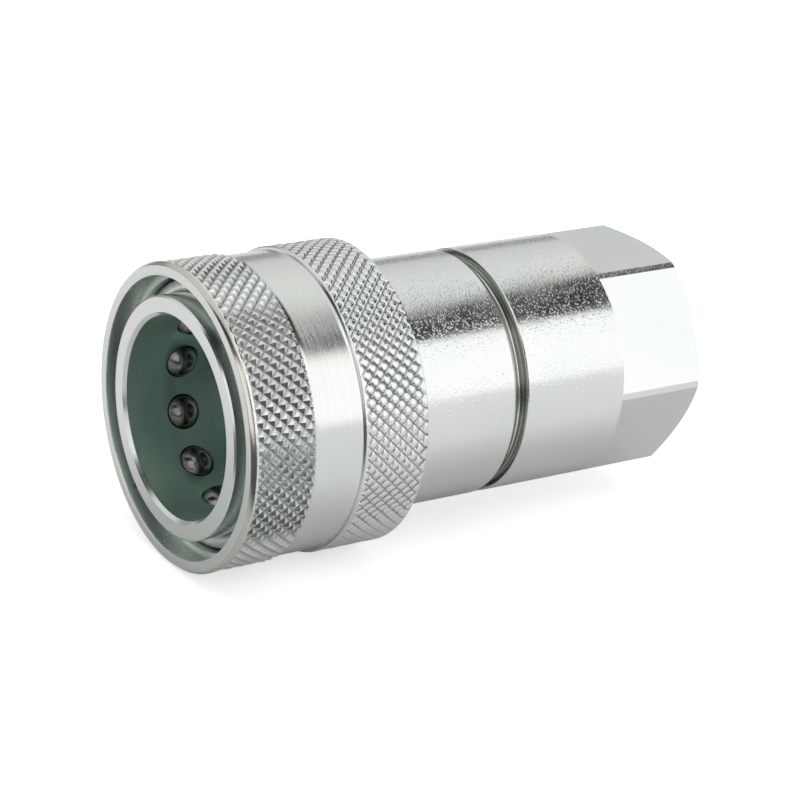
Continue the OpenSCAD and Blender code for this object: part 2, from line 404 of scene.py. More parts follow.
def wire_pits(bench: Bench, given: Values) -> Values:
    """Plating over a blasted surface: rounded grains on flat ground, and pits in some cells.

    Each grain is the top of a noise above its middle height. Share is how many cells hold a pit,
    and Depth is how deep a pit is against the height of a grain.
    """
    grain = bench.span(bench.noise(given["Vector"], given["Grain"], 1.2, 0.5), 0.55, 0.74)
    half = bench.times(given["Grain"], 0.42)
    swell = bench.noise(given["Vector"], half, 1.0, 0.5)
    cells = bench.put("TexVoronoi", {"Vector": given["Vector"], "Scale": half})
    dip = bench.span(cells.outputs["Distance"], 0.04, 0.2, 1.0, 0.0)
    pick = bench.put("SeparateColor", {0: cells.outputs["Color"]}).outputs[0]
    chosen = bench.math("LESS_THAN", pick, given["Share"])
    pit = bench.times(dip, chosen)
    skin = bench.plus(bench.times(grain, 0.8), bench.times(swell, 0.2))
    height = bench.less(skin, bench.times(pit, given["Depth"]))
    return {"Height": height, "Pit": pit}


def wire_tint(bench: Bench, given: Values) -> Values:
    """The faint oil-film colours of a passivated zinc layer.

    The cool colour comes in broad drifting patches, and the warm one lies over it in smaller ones.
    Amount fades both back to the plain colour.
    """
    broad = bench.noise(given["Vector"], 38.0, 1.0, 0.5, Distortion=0.4)
    patch = bench.noise(given["Vector"], 80.0, 1.5, 0.5, Distortion=0.5)
    cool = bench.mix(bench.span(broad, 0.42, 0.62), given["Plain"], given["Cool"])
    warm = bench.mix(bench.span(patch, 0.5, 0.68), cool, given["Warm"])
    return {"Color": bench.mix(given["Amount"], given["Plain"], warm)}


def wire_wear(bench: Bench, given: Values) -> Values:
    """Breaks an edge mask up with noise, so that rubbing looks uneven: Edge plus centred noise."""
    broken = bench.noise(given["Vector"], given["Break"], 3.0, 0.6)
    pushed = bench.plus(given["Edge"], bench.times(bench.less(broken, 0.5), 1.4))
    return {"Wear": bench.span(pushed, 0.35, 0.8)}


def wire_marks(bench: Bench, given: Values) -> Values:
    """Handling marks: smudges that change the gloss, and a few dark specks of dust."""
    smudge = bench.noise(given["Vector"], 210.0, 3.0, 0.6)
    fine = bench.noise(given["Vector"], 1400.0, 2.0, 0.6)
    rough = bench.plus(bench.times(smudge, 0.7), bench.times(fine, 0.3))
    cells = bench.put("TexVoronoi", {"Vector": given["Vector"], "Scale": 420.0})
    pick = bench.put("SeparateColor", {0: cells.outputs["Color"]}).outputs[1]
    spot = bench.span(cells.outputs["Distance"], 0.03, 0.07, 1.0, 0.0)
    speck = bench.times(spot, bench.math("LESS_THAN", pick, given["Dust"]))
    return {"Rough": bench.span(rough, 0.35, 0.65), "Speck": speck}


AXIS = GroupPlan(
    "cylinder_coordinates",
    (("Vector", Kind.VECTOR, None),),
    (("Along", Kind.NUMBER), ("Radius", Kind.NUMBER), ("Path", Kind.VECTOR)),
    wire_axis,
)
TURNED = GroupPlan(
    "turned_lines",
    (("Path", Kind.VECTOR, None), ("Density", Kind.NUMBER, 12.0), ("Waver", Kind.NUMBER, 1.0)),
    (("Height", Kind.NUMBER), ("Tone", Kind.NUMBER)),
    wire_turned,
)
PITS = GroupPlan(
    "plated_pits",
    (
        ("Vector", Kind.VECTOR, None),
        ("Grain", Kind.NUMBER, 3000.0),
        ("Share", Kind.NUMBER, 0.3),
        ("Depth", Kind.NUMBER, 0.8),
    ),
    (("Height", Kind.NUMBER), ("Pit", Kind.NUMBER)),
    wire_pits,
)
TINT = GroupPlan(
    "passivate_tint",
    (
        ("Vector", Kind.VECTOR, None),
        ("Plain", Kind.COLOUR, None),
        ("Cool", Kind.COLOUR, None),
        ("Warm", Kind.COLOUR, None),
        ("Amount", Kind.NUMBER, 0.6),
    ),
    (("Color", Kind.COLOUR),),
    wire_tint,
)
WEAR = GroupPlan(
    "edge_wear",
    (("Vector", Kind.VECTOR, None), ("Edge", Kind.NUMBER, 0.0), ("Break", Kind.NUMBER, 900.0)),
    (("Wear", Kind.NUMBER),),
    wire_wear,
)
MARKS = GroupPlan(
    "handling_marks",
    (("Vector", Kind.VECTOR, None), ("Dust", Kind.NUMBER, 0.05)),
    (("Rough", Kind.NUMBER), ("Speck", Kind.NUMBER)),
    wire_marks,
)


# ---------------------------------------------------------------- finishes


@dataclass(frozen=True)
class Finish:
    """A finish: its name, and the values that stay the same all over the surface."""

    name: str
    metallic: float = 1.0
    roughness: float = 0.3

    def material(self) -> bpy.types.Material:
        """Builds the material once, with the shader's own constant values set on its sockets.

        Returns:
            The material.
        """
        name = self.name + "_finish"
        if name in bpy.data.materials:
            return bpy.data.materials[name]
        material = bpy.data.materials.new(name)
        material.use_nodes = True
        bench = Bench(material.node_tree)
        shader = material.node_tree.nodes["Principled BSDF"]
        shader.inputs["Metallic"].default_value = self.metallic
        shader.inputs["Roughness"].default_value = self.roughness
        place = bench.put("TexCoord").outputs["Object"]
        for socket, value in self.dress(bench, place).items():
            bench.feed(shader.inputs[socket], value)
        return material

    def lathed(self, bench: Bench, place: Socket, density: float, waver: float) -> Sockets:
        """The height and tone of turned lines at a place."""
        axis = bench.group(AXIS.build(), Vector=place).outputs
        return bench.group(TURNED.build(), Path=axis["Path"], Density=density, Waver=waver).outputs

    def dress(self, bench: Bench, place: Socket) -> Values:
        """Wires the parts of the finish that change over the surface.

        Args:
            bench: The material's bench.
            place: Object coordinates.

        Returns:
            What feeds each input of the shader.
        """
        raise NotImplementedError


@dataclass(frozen=True)
class TintedZinc(Finish):
    """Bright zinc plating with a clear passivate, faintly cool in places and warm in others."""

    plain: Colour = (0.775, 0.785, 0.78)
    cool: Colour = (0.715, 0.77, 0.77)
    warm: Colour = (0.80, 0.765, 0.79)

    def tinted(self, bench: Bench, place: Socket) -> Socket:
        """The plating's colour with its drifting tints."""
        tones = {"Plain": rgba(self.plain), "Cool": rgba(self.cool), "Warm": rgba(self.warm)}
        return bench.group(TINT.build(), Vector=place, **tones).outputs["Color"]


@dataclass(frozen=True)
class PlatedZinc(TintedZinc):
    """The body's plating: smooth where it is turned or milled, and pitted on the round outside."""

    # The bore's colours: a green tint with painted shade, darker than the outside.
    bore: Colour = (0.58, 0.735, 0.72)
    bore_cloud: Colour = (0.67, 0.83, 0.71)
    # Painted shade for the floor and walls of the joint groove.
    groove: Colour = (0.22, 0.235, 0.19)
    pit: Colour = (0.45, 0.46, 0.46)
    pit_amount: float = 0.45
    dust: Colour = (0.25, 0.24, 0.22)
    dust_amount: float = 0.6
    smudge_rough: float = 0.06
    pitted_gloss: float = 0.05
    inside_rough: float = 0.2
    line_depth: float = 0.01
    pit_depth: float = 0.018

    def dress(self, bench: Bench, place: Socket) -> Values:
        """Pits on the round outside, turned lines elsewhere, painted shade in the joint groove and a
        green bore with painted shade.
        """
        axis = bench.group(AXIS.build(), Vector=place).outputs
        pitted = self.pitted(bench, axis)
        inside = self.inside(bench, axis)
        tint = self.tinted(bench, place)
        marks = bench.group(MARKS.build(), Vector=place, Dust=0.03).outputs
        pits = bench.group(PITS.build(), Vector=place, Grain=3900.0, Share=0.3, Depth=0.6).outputs
        lines = bench.group(TURNED.build(), Path=axis["Path"], Density=9.0, Waver=1.2).outputs
        dark = bench.times(pits["Pit"], pitted)
        colour = bench.mix(bench.times(dark, self.pit_amount), tint, self.pit)
        colour = bench.mix(bench.times(marks["Speck"], self.dust_amount), colour, self.dust)
        # Green tint with painted shade inside the bore.
        cloud = bench.noise(place, 130.0, 3.0, 0.6, Distortion=0.8)
        green = bench.mix(bench.span(cloud, 0.35, 0.7), self.bore, self.bore_cloud)
        # Painted shade darkens the joint groove.
        colour = bench.mix(self.groove_shade_mask(bench, axis), colour, self.groove)
        colour = bench.mix(inside, colour, green)
        rough = bench.times(marks["Rough"], self.smudge_rough)
        rough = bench.less(rough, bench.times(pitted, self.pitted_gloss))
        rough = bench.plus(rough, bench.times(inside, self.inside_rough))
        rough = bench.plus(rough, self.roughness)
        lathed = bench.less(0.35, bench.times(pitted, 0.3))
        fine = bench.bump(lines["Height"], lathed, self.line_depth)
        coarse = bench.bump(pits["Height"], pitted, self.pit_depth, fine)
        return {"Base Color": colour, "Roughness": rough, "Normal": coarse}

    def pitted(self, bench: Bench, axis: Sockets) -> Socket:
        """How pitted the surface is: 1 on the round outside, 0 on turned and milled faces."""
        outer = bench.span(axis["Radius"], BODY_R - 0.13, BODY_R - 0.05)
        before = bench.span(axis["Along"], JOINT_X - 0.75, JOINT_X - 0.6, 1.0, 0.0)
        behind = bench.span(axis["Along"], SHOULDER_X, SHOULDER_X + 0.15)
        end = bench.span(axis["Along"], LENGTH - 1.3, LENGTH - 1.15, 1.0, 0.0)
        straight = bench.math("MAXIMUM", before, bench.times(behind, end))
        return bench.times(outer, straight)

    def groove_shade_mask(self, bench: Bench, axis: Sockets) -> Socket:
        """How much painted shade shows in the joint groove.

        It is strong on the floor, weaker on both walls, and none shows on the bright ridge along
        the floor or on the body's outer edge.

        Args:
            bench: The material's bench.
            axis: The outputs of the cylinder coordinates.

        Returns:
            The mask.
        """
        behind = bench.span(axis["Along"], JOINT_X - 0.25, JOINT_X)
        before = bench.span(axis["Along"], SHOULDER_X, SHOULDER_X + 0.1, 1.0, 0.0)
        wall = bench.span(axis["Radius"], NECK_R + 0.12, NECK_R + 0.2, 0.0, 0.6)
        floor = bench.span(axis["Radius"], NECK_R + 0.02, NECK_R + 0.06, 0.85, 0.0)
        below = bench.span(axis["Radius"], BODY_R - 0.35, BODY_R - 0.1, 1.0, 0.0)
        deep = bench.times(bench.math("MAXIMUM", wall, floor), below)
        return bench.times(bench.times(behind, before), deep)

    def inside(self, bench: Bench, axis: Sockets) -> Socket:
        """How much of the bore's green colour with painted shade shows: 1 inside the bore, 0 outside
        and at both faces.
        """
        near = bench.span(axis["Radius"], SOCKET_R + 0.22, SOCKET_R + 0.42, 1.0, 0.0)
        behind = bench.span(axis["Along"], 0.35, 0.6)
        before = bench.span(axis["Along"], LENGTH - 0.85, LENGTH - 0.25, 1.0, 0.0)
        return bench.times(near, bench.times(behind, before))


@dataclass(frozen=True)
class KnurledZinc(TintedZinc):
    """The sleeve's plating: bright crests, rough valleys with painted shade, and a brushed middle band.
    """

    plain: Colour = (0.77, 0.785, 0.775)
    cool: Colour = (0.70, 0.765, 0.75)
    warm: Colour = (0.815, 0.77, 0.795)
    # Painted shade in the knurl's valleys.
    valley_shade: Colour = (0.24, 0.26, 0.25)
    valley_shade_amount: float = 0.55
    # Green tint with painted shade for the sleeve's inside.
    inner: Colour = (0.70, 0.78, 0.735)
    rubbed: Colour = (0.52, 0.48, 0.40)
    rubbed_amount: float = 0.55
    line: Colour = (0.48, 0.5, 0.49)
    line_amount: float = 0.16
    smudge_rough: float = 0.06
    valley_rough: float = 0.12
    line_depth: float = 0.022
    grain_depth: float = 0.02

    def dress(self, bench: Bench, place: Socket) -> Values:
        """Painted shade in the valleys and, with a green tint, on the inside, both rougher than crests;
        the front lip is rubbed.
        """
        axis = bench.group(AXIS.build(), Vector=place).outputs
        crest = bench.put("Attribute", attribute_name="crest").outputs["Fac"]
        tint = self.tinted(bench, place)
        marks = bench.group(MARKS.build(), Vector=place, Dust=0.02).outputs
        # Painted shade: the colour darkens from the crests down into the valleys.
        depth = bench.span(crest, 0.0, 0.55, 1.0, 0.0)
        colour = bench.mix(bench.times(depth, self.valley_shade_amount), tint, self.valley_shade)
        edge = bench.span(axis["Radius"], SLEEVE_R - 0.48, SLEEVE_R - 0.38)
        lip = bench.times(edge, bench.span(axis["Along"], 0.3, 0.9, 1.0, 0.0))
        wear = bench.group(WEAR.build(), Vector=place, Edge=lip, Break=1500.0).outputs["Wear"]
        colour = bench.mix(bench.times(wear, self.rubbed_amount), colour, self.rubbed)
        # Mask of the sleeve's inside, which gets painted shade with a green tint.
        inner = bench.span(axis["Radius"], POCKET_R + 0.06, POCKET_R + 0.16, 1.0, 0.0)
        lines = bench.group(TURNED.build(), Path=axis["Path"], Density=8.0, Waver=0.8).outputs
        colour = bench.mix(bench.times(lines["Tone"], self.line_amount), colour, self.line)
        colour = bench.mix(inner, colour, self.inner)
        rough = bench.plus(bench.times(marks["Rough"], self.smudge_rough), self.roughness)
        dull = bench.math("MAXIMUM", depth, inner)
        rough = bench.plus(rough, bench.times(dull, self.valley_rough))
        fine = bench.bump(lines["Height"], 0.55, self.line_depth)
        grain = bench.noise(place, 5200.0, 2.0, 0.5)
        grit = bench.less(0.18, bench.times(inner, 0.15))
        normal = bench.bump(grain, grit, self.grain_depth, fine)
        return {"Base Color": colour, "Roughness": rough, "Normal": normal}


@dataclass(frozen=True)
class PolishedSteel(Finish):
    """Hardened ball steel: dark and glossy, with fine marks where the nipple has rubbed."""

    tone: Colour = (0.17, 0.155, 0.15)
    rub: Colour = (0.31, 0.285, 0.265)
    dust: Colour = (0.1, 0.09, 0.08)

    def dress(self, bench: Bench, place: Socket) -> Values:
        """Cloudy tone, small scratches and a gloss that changes with them."""
        cloud = bench.noise(place, 700.0, 3.0, 0.65, Distortion=1.0)
        colour = bench.mix(bench.span(cloud, 0.4, 0.7), self.tone, self.rub)
        marks = bench.group(MARKS.build(), Vector=place, Dust=0.1).outputs
        colour = bench.mix(bench.times(marks["Speck"], 0.5), colour, self.dust)
        rough = bench.plus(bench.times(marks["Rough"], 0.12), self.roughness)
        scratch = bench.noise(place, 3600.0, 3.0, 0.7)
        normal = bench.bump(scratch, 0.25, 0.012)
        return {"Base Color": colour, "Roughness": rough, "Normal": normal}


@dataclass(frozen=True)
class DrawnWire(Finish):
    """Drawn wire: faint lines along its length and a slightly uneven tone."""

    tone: Colour = (0.45, 0.44, 0.42)
    light: Colour = (0.62, 0.61, 0.58)

    def dress(self, bench: Bench, place: Socket) -> Values:
        """Tone and gloss that drift along the wire."""
        lines = self.lathed(bench, place, 14.0, 2.0)
        drift = bench.noise(place, 320.0, 2.0, 0.6)
        colour = bench.mix(bench.span(drift, 0.35, 0.65), self.tone, self.light)
        rough = bench.plus(bench.times(lines["Tone"], 0.1), self.roughness)
        normal = bench.bump(lines["Height"], 0.3, 0.01)
        return {"Base Color": colour, "Roughness": rough, "Normal": normal}


@dataclass(frozen=True)
class MachinedSteel(Finish):
    """Turned valve steel with tool lines and smudges."""

    tone: Colour = (0.56, 0.56, 0.53)
    light: Colour = (0.68, 0.67, 0.63)
    dust: Colour = (0.2, 0.19, 0.17)

    def dress(self, bench: Bench, place: Socket) -> Values:
        """Tool lines in the bump, and a tone that follows them."""
        lines = self.lathed(bench, place, 7.0, 0.7)
        marks = bench.group(MARKS.build(), Vector=place, Dust=0.05).outputs
        colour = bench.mix(lines["Tone"], self.tone, self.light)
        colour = bench.mix(bench.times(marks["Speck"], 0.5), colour, self.dust)
        rough = bench.plus(bench.times(marks["Rough"], 0.12), self.roughness)
        normal = bench.bump(lines["Height"], 0.35, 0.014)
        return {"Base Color": colour, "Roughness": rough, "Normal": normal}


@dataclass(frozen=True)
class MouldedRubber(Finish):
    """Black seal rubber: matt, slightly mottled and dusted with assembly grease."""

    tone: Colour = (0.018, 0.018, 0.019)
    bloom: Colour = (0.06, 0.06, 0.058)

    def dress(self, bench: Bench, place: Socket) -> Values:
        """A bloom on the surface and a very fine moulded grain."""
        bloom = bench.noise(place, 620.0, 3.0, 0.6)
        grain = bench.noise(place, 9000.0, 2.0, 0.5)
        colour = bench.mix(bench.span(bloom, 0.45, 0.7), self.tone, self.bloom)
        rough = bench.span(bloom, 0.3, 0.7, self.roughness - 0.12, self.roughness + 0.15)
        normal = bench.bump(grain, 0.25, 0.01)
        return {"Base Color": colour, "Roughness": rough, "Normal": normal}


@dataclass(frozen=True)
class TurnedPlastic(Finish):
    """White backup ring plastic, skived from bar, with lathe lines and a little staining."""

    tone: Colour = (0.80, 0.79, 0.74)
    stain: Colour = (0.60, 0.57, 0.48)

    def dress(self, bench: Bench, place: Socket) -> Values:
        """Lathe lines in the bump and stain in patches."""
        lines = self.lathed(bench, place, 10.0, 0.8)
        patch = bench.noise(place, 380.0, 3.0, 0.6)
        colour = bench.mix(bench.span(patch, 0.5, 0.8), self.tone, self.stain)
        rough = bench.span(lines["Tone"], 0.0, 1.0, self.roughness - 0.08, self.roughness + 0.08)
        normal = bench.bump(lines["Height"], 0.3, 0.015)
        return {"Base Color": colour, "Roughness": rough, "Normal": normal}


BODY_ZINC = PlatedZinc("body_zinc", roughness=0.18)
# The adapter's bore colours are a green tint with painted shade as well.
ADAPTER_ZINC = PlatedZinc(
    "adapter_zinc", roughness=0.18, bore=(0.60, 0.68, 0.655), bore_cloud=(0.66, 0.73, 0.68)
)
SLEEVE_ZINC = KnurledZinc("sleeve_zinc", roughness=0.14)
BALL_STEEL = PolishedSteel("ball_steel", roughness=0.1)
RING_STEEL = DrawnWire("ring_steel", roughness=0.18, tone=(0.55, 0.57, 0.54), light=(0.7, 0.71, 0.68))
SPRING_STEEL = DrawnWire("spring_steel", roughness=0.28)
VALVE_STEEL = MachinedSteel("valve_steel", roughness=0.24)
GUIDE_STEEL = MachinedSteel(
    "guide_steel", roughness=0.32, tone=(0.56, 0.51, 0.38), light=(0.66, 0.61, 0.48)
)
CIRCLIP_STEEL = DrawnWire(
    "circlip_steel", roughness=0.4, tone=(0.1, 0.1, 0.105), light=(0.17, 0.165, 0.16)
)
SEAL_RUBBER = MouldedRubber("seal_rubber", metallic=0.0, roughness=0.5)
BACKUP_PLASTIC = TurnedPlastic("backup_plastic", metallic=0.0, roughness=0.42)


def repaint(node: str, finish: Finish) -> None:
    """Gives a CAD node a finish in all of its material slots."""
    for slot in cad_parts[node].material_slots:
        slot.material = finish.material()
    LOG.info("%s wears %s", node, finish.name)


def mount(
    piece: bpy.types.Object, finish: Finish, body: str, slot: str, *nodes: str
) -> bpy.types.Object:
    """Dresses a new piece and ties it to the frame.

    Args:
        piece: The new object.
        finish: The finish that it wears.
        body: The CAD body that it moves with.
        slot: The record's material slot that it stands for; not used.
        nodes: The CAD nodes that it replaces.

    Returns:
        The piece.
    """
    piece.data.materials.append(finish.material())
    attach(piece, body)
    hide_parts(*nodes)
    LOG.info("%s rides on %s, %d triangles", piece.name, body, len(piece.data.polygons))
    return piece


# ---------------------------------------------------------------- sub-assemblies


@dataclass
class LockingSleeve:
    """The knurled sleeve: two diamond bands for the grip, with a smooth recessed band between.

    A rounded edge is given as pairs of a place from the edge and a step. The step goes down from
    the crest, or up from the floor of the band or the pocket.
    """

    outer_r: float = SLEEVE_R
    length: float = 24.0
    starts: int = 72
    steps: int = 8
    edge_x: float = 0.85
    band_front_x: float = 8.5
    band_rear_x: float = 15.1
    band_depth: float = 0.45
    rear_knurl_x: float = 15.5
    front_rows: int = 38
    rear_rows: int = 40
    front_depth: float = 0.42
    rear_depth: float = 0.26
    pocket_r: float = POCKET_R
    pocket_depth: float = 3.15
    cavity_r: float = 16.48
    lip_r: float = 14.76
    lip_x: float = 10.3
    lip_end_x: float = 11.1
    land_x: float = 8.39
    land_r: float = 15.59
    ramp_r: float = 16.64
    front_round: tuple[Span, ...] = ((0.0, 0.43), (0.1, 0.3), (0.5, 0.03), (0.62, 0.0))
    rear_round: tuple[Span, ...] = ((0.28, 0.02), (0.04, 0.26), (0.0, 0.32))
    knurl_round: tuple[Span, ...] = ((0.0, 0.16), (0.1, 0.04), (0.2, 0.0))
    band_front_round: tuple[Span, ...] = ((0.14, 0.03), (0.22, 0.0))
    band_rear_round: tuple[Span, ...] = ((-0.12, 0.0), (-0.04, 0.03))
    pocket_round: tuple[Span, ...] = ((0.2, 0.0), (0.06, 0.05), (0.0, 0.18))
    band_rows: int = 8
    mouth_chamfer: float = 0.2
    cavity_chamfer: float = 0.3
    lip_chamfer: float = 0.1
    pocket_chamfer: float = 0.08
    crest_share: float = 0.9
    worn_crest_share: float = 0.5
    worn_below: float = 0.8
    rear_edge: float = 0.5
    fade: float = 0.3
    uneven: float = 0.16

    def knurl(self, u: np.ndarray, v: np.ndarray, flat: float) -> np.ndarray:
        """Height of the diamonds, 0 in a groove and 1 on a crest.

        Two families of grooves cross at 45 degrees. The height is the smaller of two triangle
        waves, of u + v and of u - v, cut off at the share flat. Each diamond is a little lower
        than full height by its own amount. A worn crest, cut off lower down, is rounded as well.

        Args:
            u: Place round the sleeve in pitches.
            v: Place along the sleeve in pitches.
            flat: Share of the wave at which the crest is cut off.

        Returns:
            The heights.
        """
        a, b = u + v, u - v
        cut = np.minimum(np.minimum(zigzag(a), zigzag(b)) / flat, 1.0)
        if flat < self.worn_below:
            cut = 1.0 - (1.0 - cut) ** 2
        lower = self.uneven * scatter(np.floor(a) % self.starts, np.floor(b) % self.starts)
        return cut * (1.0 - lower)

    def band(
        self, start: float, end: float, rows: int, depth: float, flat: float, u: np.ndarray
    ) -> Rows:
        """Rows of one knurled band, whose grooves fade in from its front edge.

        Args:
            start: Front edge of the band.
            end: Rear edge of the band.
            rows: Steps along the band.
            depth: Depth of the grooves.
            flat: Passed on to knurl.
            u: Place of each column in pitches.

        Returns:
            Arrays of x, r and crest height.
        """
        step = np.arange(rows + 1)[:, None]
        x = start + (end - start) * step / rows + 0 * u
        crest = self.knurl(u[None, :], step / self.steps, flat)
        fade = np.clip((x - start + 0.05) / self.fade, 0.0, 1.0)
        crest = 1.0 - (1.0 - crest) * fade
        return x, self.outer_r - depth * (1.0 - crest), crest

    def ring(self, x: float, r: float, columns: int) -> Rows:
        """One plain row of the profile."""
        return tuple(np.full((1, columns), value) for value in (x, r, 1.0))

    def build(self) -> None:
        """Builds the sleeve's mesh and ties it to the sleeve body."""
        columns = self.starts * self.steps
        u = np.arange(columns) / self.steps
        angle = 2 * math.pi * np.arange(columns) / columns
        band_r = self.outer_r - self.band_depth
        front = self.band(
            self.edge_x, self.band_front_x, self.front_rows, self.front_depth, self.crest_share, u
        )
        rear_end = self.length - self.rear_edge
        rear = self.band(
            self.rear_knurl_x, rear_end, self.rear_rows, self.rear_depth, self.worn_crest_share, u
        )
        lead = [(x, self.outer_r - drop) for x, drop in self.front_round]
        plain = np.linspace(self.band_front_x + 0.7, self.band_rear_x - 0.5, self.band_rows)
        middle = [
            *((self.band_front_x + x, band_r + up) for x, up in self.band_front_round),
            *((x, band_r) for x in plain),
            *((self.band_rear_x + x, band_r + up) for x, up in self.band_rear_round),
            *((self.band_rear_x + x, self.outer_r - drop) for x, drop in self.knurl_round),
        ]
        tail = [
            *((self.length - x, self.outer_r - drop) for x, drop in self.rear_round),
            (self.length, self.cavity_r + self.mouth_chamfer),
            (self.length - self.mouth_chamfer, self.cavity_r),
            (self.lip_end_x + self.cavity_chamfer, self.cavity_r),
            (self.lip_end_x, self.cavity_r - self.cavity_chamfer),
            (self.lip_end_x, self.lip_r + self.lip_chamfer),
            (self.lip_end_x - self.lip_chamfer, self.lip_r),
            (self.lip_x + self.lip_chamfer, self.lip_r),
            (self.lip_x, self.lip_r + self.lip_chamfer),
            (self.lip_x, self.land_r),
            (self.land_x, self.land_r),
            (self.pocket_depth, self.ramp_r),
            (self.pocket_depth, self.pocket_r - self.pocket_chamfer),
            (self.pocket_depth - self.pocket_chamfer, self.pocket_r),
            *((x, self.pocket_r + up) for x, up in self.pocket_round),
        ]
        parts = [self.ring(x, r, columns) for x, r in lead]
        parts += [front]
        parts += [self.ring(x, r, columns) for x, r in middle]
        parts += [rear]
        parts += [self.ring(x, r, columns) for x, r in tail]
        x, r, crest = (np.concatenate(rows) for rows in zip(*parts))
        surface = turned(x, r, angle, alternate=True, crest=crest)
        piece = surface.to_object("knurled_sleeve", crease=28.0)
        mount(piece, SLEEVE_ZINC, "sleeve", "sleeve_zinc", "locking_sleeve")


